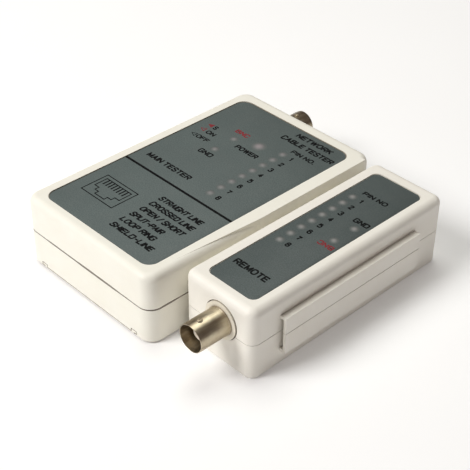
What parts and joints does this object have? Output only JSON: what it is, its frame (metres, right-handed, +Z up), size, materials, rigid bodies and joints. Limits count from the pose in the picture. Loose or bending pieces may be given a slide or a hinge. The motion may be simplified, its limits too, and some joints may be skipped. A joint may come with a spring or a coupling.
{
  "type": "network cable tester",
  "caption": "Hand-held network cable tester: a main unit with a docked remote unit, each with a modular jack, a bayonet coaxial connector and lamps under a printed film.",
  "frame": {"origin": "centre of the main unit's underside", "axes": "+X the labels' reading direction, +Y towards the main unit's socket end, +Z up, out of the labels"},
  "size_m": [0.1041, 0.1185, 0.0275],
  "materials": {
    "ivory_case": "fine moulded satin",
    "label_print": "satin grey overlay film",
    "lamp": "diffused epoxy",
    "board": "solder-masked laminate",
    "steel_wire": "tinned",
    "nickel": "nickel plate",
    "cream_insulator": "moulded",
    "white_insulator": "fluoropolymer",
    "gold": "gold flash",
    "black_plastic": "moulded",
    "screw_steel": "zinc plated",
    "resistor_body": "lacquered",
    "diode_glass": "clear",
    "capacitor_sleeve": "shrink sleeve",
    "battery_jacket": "printed jacket",
    "lead_black": "vinyl",
    "lead_red": "vinyl",
    "foam": "open cell foam"
  },
  "bodies": {
    "main_tester": {"main_top_shell": "ivory_case", "main_bottom_shell": "ivory_case", "main_label_film": "label_print", "main_board": "board", "main_board_screws": "screw_steel", "main_case_screws": "screw_steel", "main_pin_lamps": "lamp", "main_status_lamps": "lamp", "power_lamp": "lamp", "main_lamp_legs": "steel_wire", "main_jack_housing": "black_plastic", "main_jack_contacts": "gold", "main_coax_body": "cream_insulator", "main_coax_tube": "nickel", "main_coax_core": "white_insulator", "main_coax_pin": "gold", "switch_can": "steel_wire", "switch_base": "black_plastic", "switch_pins": "steel_wire", "counter_chip": "black_plastic", "counter_chip_pins": "steel_wire", "timer_chip": "black_plastic", "timer_chip_pins": "steel_wire", "main_resistors": "resistor_body", "main_capacitors": "capacitor_sleeve", "battery_case": "battery_jacket", "battery_terminals": "steel_wire", "battery_clip": "black_plastic", "battery_lead_black": "lead_black", "battery_lead_red": "lead_red", "battery_pad": "foam"},
    "remote_tester": {"remote_top_shell": "ivory_case", "remote_bottom_shell": "ivory_case", "remote_label_film": "label_print", "remote_board": "board", "remote_board_screws": "screw_steel", "remote_case_screws": "screw_steel", "remote_pin_lamps": "lamp", "remote_status_lamps": "lamp", "remote_lamp_legs": "steel_wire", "remote_jack_housing": "black_plastic", "remote_jack_contacts": "gold", "remote_coax_body": "cream_insulator", "remote_coax_tube": "nickel", "remote_coax_core": "white_insulator", "remote_coax_pin": "gold", "remote_diodes": "diode_glass"},
    "switch_knob": {"switch_knob": "black_plastic"},
    "battery_door": {"battery_door": "ivory_case"}
  },
  "joints": [
    {"name": "remote_slide", "type": "slide", "parent": "main_tester", "child": "remote_tester", "axis": [0, -1, 0], "range_m": [0, 0.064]},
    {"name": "switch_slide", "type": "slide", "parent": "main_tester", "child": "switch_knob", "axis": [0, 1, 0], "range_m": [0, 0.008]},
    {"name": "battery_door_slide", "type": "slide", "parent": "main_tester", "child": "battery_door", "axis": [0, -1, 0], "range_m": [0, 0.031]}
  ]
}
